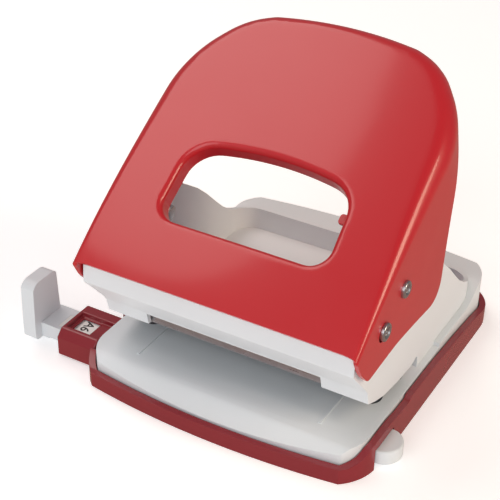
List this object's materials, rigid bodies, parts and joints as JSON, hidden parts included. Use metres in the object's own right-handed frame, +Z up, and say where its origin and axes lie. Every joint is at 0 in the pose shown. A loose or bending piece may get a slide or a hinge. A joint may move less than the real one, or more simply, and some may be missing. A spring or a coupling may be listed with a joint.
{
  "type": "hole punch",
  "caption": "Desk hole punch: pressed-steel lever on a folded frame over a moulded base, with sprung punch pins, a paper stop, a hinged chip door and a sliding paper guide.",
  "frame": {"origin": "on the desk, under the middle of the base", "axes": "+X along the paper edge towards the bar's knob, +Y from the front to the back, +Z up"},
  "size_m": [0.1364, 0.1175, 0.1067],
  "materials": {
    "red_paint": "semi-gloss enamel",
    "grey_paint": "satin enamel",
    "grey_plastic": "satin moulding",
    "red_plastic": "semi-gloss moulding",
    "steel": "zinc plated",
    "bright_steel": "ground",
    "spring_steel": "drawn wire",
    "nylon": "natural nylon",
    "label": "printed strip"
  },
  "bodies": {
    "base": {"base_body": "grey_plastic", "base_skirt": "red_plastic", "frame": "grey_paint", "pin_guide_plate": "steel", "frame_rivets": "steel", "pin_bush_left": "bright_steel", "pin_bush_right": "bright_steel", "die_left": "bright_steel", "die_right": "bright_steel", "pivot_rivet_left": "steel", "pivot_rivet_right": "steel", "pivot_washer_left": "nylon", "pivot_washer_right": "nylon", "door_hinge_pin": "steel", "guide_housing": "red_plastic", "detent_spring": "spring_steel", "return_spring_left": "spring_steel", "return_spring_right": "spring_steel"},
    "handle": {"lever": "red_paint", "drive_pin_left": "steel", "drive_pin_right": "steel"},
    "left_pin": {"punch_pin_left": "bright_steel", "pin_clip_left": "steel"},
    "right_pin": {"punch_pin_right": "bright_steel", "pin_clip_right": "steel"},
    "door": {"chip_door": "red_plastic"},
    "guide": {"guide_bar": "grey_plastic", "bar_end_knob": "grey_plastic", "format_label": "label"}
  },
  "joints": [
    {"name": "lever_press", "type": "hinge", "parent": "base", "child": "handle", "pos_m": [0, -0.0389, 0.0475], "axis": [-1, 0, 0], "range_deg": [0, 24], "stiffness_Nm_per_rad": 2, "springref_deg": -8.59},
    {"name": "left_pin_slide", "type": "slide", "parent": "base", "child": "left_pin", "axis": [0, 0, -1], "range_m": [0, 0.0059], "deforming": ["return_spring_left"]},
    {"name": "right_pin_slide", "type": "slide", "parent": "base", "child": "right_pin", "axis": [0, 0, -1], "range_m": [0, 0.0059], "deforming": ["return_spring_right"]},
    {"name": "chip_door_hinge", "type": "hinge", "parent": "base", "child": "door", "pos_m": [0, 0.0436, 0.003], "axis": [1, 0, 0], "range_deg": [0, 80]},
    {"name": "guide_slide", "type": "slide", "parent": "base", "child": "guide", "axis": [1, 0, 0], "range_m": [-0.075, 0.0068]}
  ],
  "couplings": [
    {"joint": "left_pin_slide", "follows": "lever_press", "m_per_rad": 0.013918},
    {"joint": "right_pin_slide", "follows": "lever_press", "m_per_rad": 0.013918}
  ]
}
